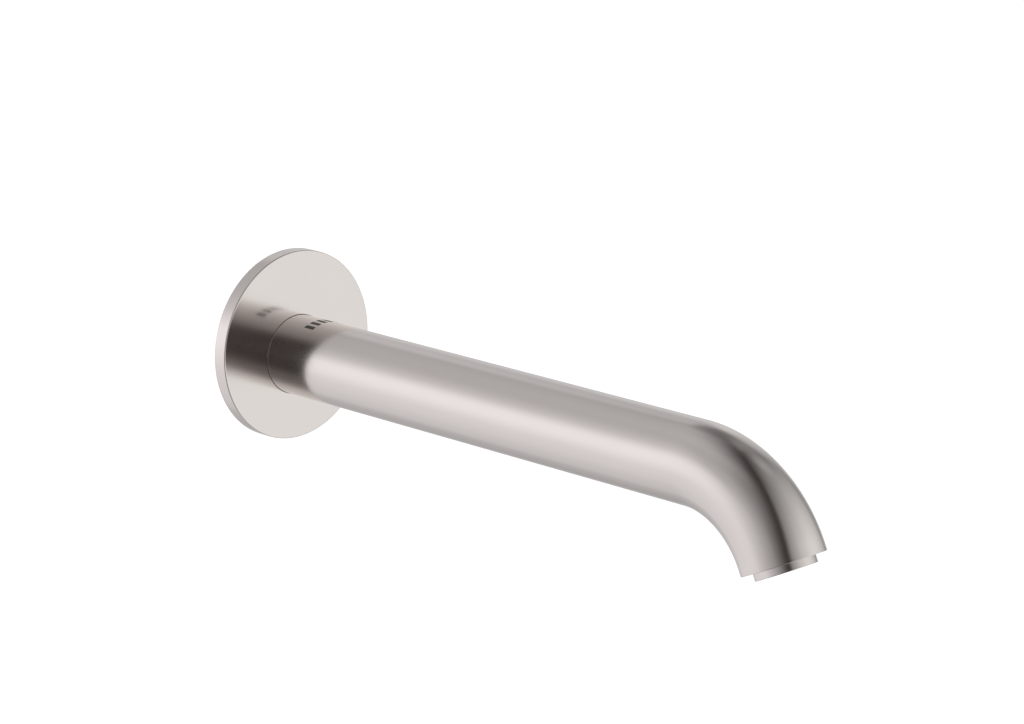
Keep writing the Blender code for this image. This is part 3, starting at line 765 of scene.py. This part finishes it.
def make_cartridge():
    """The aerator's sleeve, with the flange that it hangs from and its air slots."""
    low, flange_low, flange_top, top = 1.6, -3.1, -3.8, -5.0
    sleeve_r, flange_r, collar_r, bore = 9.35, 11.1, 8.9, 8.3
    corners = [
        (low, sleeve_r, 0.1),
        (flange_low, sleeve_r),
        (flange_low, flange_r, 0.1),
        (flange_top, flange_r, 0.1),
        (flange_top, collar_r),
        (top, collar_r, 0.1),
        (top, bore, 0.1),
        (low, bore, 0.1),
    ]
    sleeve = turned_piece(
        "cartridge_skin",
        "aerator_cartridge",
        corners,
        OUTLET_FRAME,
        PLASTIC,
        "aerator_insert",
        "white_plastic",
    )
    slots = bmesh.new()
    count, slot_r, slot_at, size = 6, 8.8 * MM, -1.7 * MM, (3.0 * MM, 2.2 * MM, 0.8 * MM)
    places = [(x, y, slot_at) for x, y in polar(slot_r, count)]
    blocks(slots, places, size, OUTLET_FRAME)
    apply_boolean(sleeve, slots)


def make_honeycomb():
    """The outlet's disc of hexagonal cells."""
    top, low, radius, fillet = 0.5 * MM, 1.6 * MM, 8.1 * MM, 0.1 * MM
    corners = [(low, 0.0), (low, radius, fillet), (top, radius, fillet), (top, 0.0)]
    comb = skin("honeycomb_skin", rounded(corners), straight(OUTLET_FRAME), sides=96, closed=False)
    pitch, cell_r, field_r, rings = 1.55 * MM, 0.76 * MM, 7.0 * MM, 5
    cells = bmesh.new()
    grid = [place for place in hexagonal_grid(pitch, rings) if math.hypot(*place) < field_r]
    prisms(cells, cell_r, top - CLEAR, low + CLEAR, grid, OUTLET_FRAME)
    apply_boolean(comb, cells)
    dress(comb, PLASTIC, "aerator_insert", "white_plastic", "aerator_honeycomb")


# ---------------------------------------------------------------- carried-over CAD nodes

# These keep the CAD's own mesh, with a better material.
CARRIED = {
    "spout_base_bush": CAST_BRASS,
    "aerator_seal": RUBBER,
    "flow_regulator_ring": RUBBER,
    "aerator_strainer": PLASTIC,
    "flow_regulator_seat": PLASTIC,
    "aerator_jet_plate": PLASTIC,
    "aerator_grid_upper": ROLLED_STEEL,
    "aerator_grid_lower": ROLLED_STEEL,
}


def dress_carried_nodes():
    for name, material in CARRIED.items():
        mesh = frame["nodes"][name].data
        mesh.materials.clear()
        mesh.materials.append(material)


# ---------------------------------------------------------------- studio

# The surround's brightness by direction, set so that the reflections look like the
# photo's. All angles are in degrees. Azimuth 0 is the room in front of the wall and 90 its
# right-hand side. WALL_SHADES go round by azimuth, about an upright axis that leans to the right.
# BACK_SHADES and FRONT_SHADES go from straight down to straight up, and FRONT_SHADES hold for the
# half of the room round FRONT_AZIMUTH.
LEAN, LEAN_AZIMUTH = 15, 100
WALL_SHADES = [
    (-180, 0.93),
    (-150, 1.0),
    (-126, 0.96),
    (-114, 0.84),
    (-102, 0.66),
    (-90, 0.51),
    (-66, 0.25),
    (-54, 0.11),
    (-45, 0.03),
    (-36, 0.01),
    (-28, 0.25),
    (-6, 0.56),
    (18, 0.79),
    (42, 0.90),
    (66, 0.77),
    (78, 0.63),
    (90, 0.48),
    (101, 0.37),
    (112, 0.58),
    (124, 0.68),
    (138, 0.56),
    (150, 0.68),
    (165, 0.82),
    (180, 0.93),
]
BACK_SHADES = [
    (-90, 0.40),
    (-45, 0.69),
    (-25, 0.83),
    (-8, 1.0),
    (3, 1.0),
    (18, 0.70),
    (28, 0.56),
    (38, 0.48),
    (54, 0.48),
    (66, 0.36),
    (75, 0.22),
    (84, 0.08),
    (90, 0.04),
]
BACK_TINT = (1.05, 1.055, 1.065)
FRONT_SHADES = [
    (-90, 0.48),
    (-45, 0.77),
    (-15, 1.0),
    (12, 1.0),
    (30, 0.86),
    (45, 0.64),
    (60, 0.41),
    (75, 0.22),
    (84, 0.07),
    (90, 0.04),
]
FRONT_TINT = (1.02, 1.045, 1.025)
FRONT_AZIMUTH = 35
# Patches in it: azimuth, elevation, where the patch is full and where it ends in degrees from
# its middle, and its gain, which is positive in a brighter patch.
PATCHES = [
    (-32, -32, 8, 32, -0.58),
    (-78, 54, 8, 34, 0.30),
    (0, 76, 3, 14, -0.28),
    (98, 57, 3, 18, 0.75),
    (104, 4, 4, 18, -0.22),
    (115, 25, 3, 14, 0.14),
    (127, 50, 5, 20, -0.42),
    (141, 21, 5, 25, 0.68),
    (158, -42, 5, 25, -0.15),
]
FILL = (0.050, 0.043, 0.041)  # reaches even the darkest direction


def heading(azimuth, elevation):
    """The direction out to an azimuth and elevation in degrees."""
    turn, rise = math.radians(azimuth), math.radians(elevation)
    level = math.cos(rise)
    return Vector((math.sin(turn) * level, -math.cos(turn) * level, math.sin(rise)))


def leaning(nodes, direction):
    """The direction, turned back so that the leaning axis stands upright."""
    turned = nodes.add("ShaderNodeVectorRotate", rotation_type="AXIS_ANGLE")
    nodes.link(direction, turned.inputs["Vector"])
    turned.inputs["Axis"].default_value = heading(LEAN_AZIMUTH - 90, 0)
    turned.inputs["Angle"].default_value = math.radians(LEAN)
    return turned.outputs[0]


def room_shades(nodes, direction):
    """The brightness by azimuth and the colour by elevation, about the leaning axis."""
    upright = leaning(nodes, direction)
    split = nodes.add("ShaderNodeSeparateXYZ")
    nodes.link(upright, split.inputs[0])
    x, y, z = split.outputs
    azimuth = nodes.math("ARCTAN2", x, nodes.math("MULTIPLY", y, -1.0))
    turn = nodes.math("MULTIPLY_ADD", azimuth, 1 / TURN, 0.5)
    rise = nodes.math("MULTIPLY_ADD", nodes.math("ARCSINE", z), 2 / TURN, 0.5)
    walls = nodes.ramp(turn, [(0.5 + angle / 360, shade) for angle, shade in WALL_SHADES])
    rows = nodes.add("ShaderNodeMix", data_type="RGBA")
    in_front = nodes.facing(upright, heading(FRONT_AZIMUTH, 0))
    nodes.put(rows.inputs["Factor"], nodes.span(in_front, -0.3, 0.3, 0.0, 1.0))
    for socket, shades, tint in (("A", BACK_SHADES, BACK_TINT), ("B", FRONT_SHADES, FRONT_TINT)):
        side = nodes.ramp(rise, [(0.5 + angle / 180, shade) for angle, shade in shades])
        nodes.link(nodes.vectors("MULTIPLY", side, tint), rows.inputs[socket])
    return walls, rows.outputs["Result"]


def patch_gains(nodes, direction):
    """The product of all patches' gains in a direction."""
    gains = 1.0
    for azimuth, elevation, inner, outer, gain in PATCHES:
        near = nodes.facing(direction, heading(azimuth, elevation))
        ends, full = math.cos(math.radians(outer)), math.cos(math.radians(inner))
        gains = nodes.math("MULTIPLY", nodes.span(near, ends, full, 1.0, 1.0 + gain), gains)
    return gains


def make_world():
    """A studio surround: white panels at the back left and the front right, dark behind the
    camera and overhead. It lights and reflects, while the camera itself sees white."""
    world = bpy.data.worlds.new("studio")
    bpy.context.scene.world = world
    nodes = Nodes(world)
    direction = nodes.add("ShaderNodeTexCoord").outputs["Generated"]
    walls, rows = room_shades(nodes, direction)
    patched = nodes.vectors("MULTIPLY", walls, patch_gains(nodes, direction))
    surround = nodes.add("ShaderNodeBackground")
    nodes.link(nodes.vectors("MULTIPLY_ADD", patched, rows, FILL), surround.inputs["Color"])
    backdrop = nodes.add("ShaderNodeBackground")
    backdrop.inputs["Color"].default_value = WHITE
    mix = nodes.add("ShaderNodeMixShader")
    nodes.link(nodes.add("ShaderNodeLightPath").outputs["Is Camera Ray"], mix.inputs[0])
    nodes.link(surround.outputs[0], mix.inputs[1])
    nodes.link(backdrop.outputs[0], mix.inputs[2])
    nodes.link(mix.outputs[0], nodes.tree.nodes["World Output"].inputs["Surface"])


def make_floor():
    """A wide pale floor far below, which makes the ground white in views from above."""
    side, height, glow = 60.0, -2.4, 0.75
    bpy.ops.mesh.primitive_plane_add(size=side, location=(0.0, 0.0, height))
    floor = bpy.context.active_object
    floor.name = "floor"
    material, nodes, shader = new_material("pale_floor", 0.0)
    place = nodes.add("ShaderNodeTexCoord").outputs["Object"]
    paint = nodes.tint(nodes.noise(place, 0.6), (0.90, 0.90, 0.90), (0.92, 0.92, 0.92))
    nodes.link(paint, shader.inputs["Base Color"])
    shader.inputs["Roughness"].default_value = 0.9
    shader.inputs["Emission Color"].default_value = WHITE
    shader.inputs["Emission Strength"].default_value = glow
    floor.data.materials.append(material)
    floor.visible_glossy = False


def make_light():
    """A soft lamp above on the left, aimed at the middle of the tube."""
    data = bpy.data.lights.new("softbox", "AREA")
    data.shape = "DISK"
    data.size = 1.6
    data.energy = 12.0
    light = bpy.data.objects.new("softbox", data)
    light.location = (-0.9, -1.1, 1.5)
    aim = Vector((0.0, -0.12, 0.0)) - light.location
    light.rotation_euler = aim.to_track_quat("-Z", "Y").to_euler()
    light.visible_glossy = False
    bpy.context.scene.collection.objects.link(light)


def make_camera():
    """The photo's view, as fitted to the outlines of the plate, the tube and the mouth."""
    data = bpy.data.cameras.new("camera")
    data.sensor_width = 36.0
    data.lens = 124.65
    data.clip_start, data.clip_end = 0.01, 100.0
    camera = bpy.data.objects.new("camera", data)
    distance, target = 1.2403, Vector((0.01658, -0.1, 0.01167))
    back = heading(azimuth=-45.01, elevation=15.05)
    camera.location = target + back * distance
    camera.rotation_euler = back.to_track_quat("Z", "Y").to_euler()
    bpy.context.scene.collection.objects.link(camera)
    bpy.context.scene.camera = camera


# ---------------------------------------------------------------- assembly

make_camera()
make_world()
make_floor()
make_light()
bpy.context.scene.view_settings.view_transform = "Standard"

make_tube()
make_mark()
make_grub_screw()
make_escutcheon()
make_wall_adapter()
make_flat_seal()
make_o_rings()
make_wall_gasket()
make_carrier()
make_outlet_bush()
make_aerator_ring()
make_cartridge()
make_honeycomb()
dress_carried_nodes()
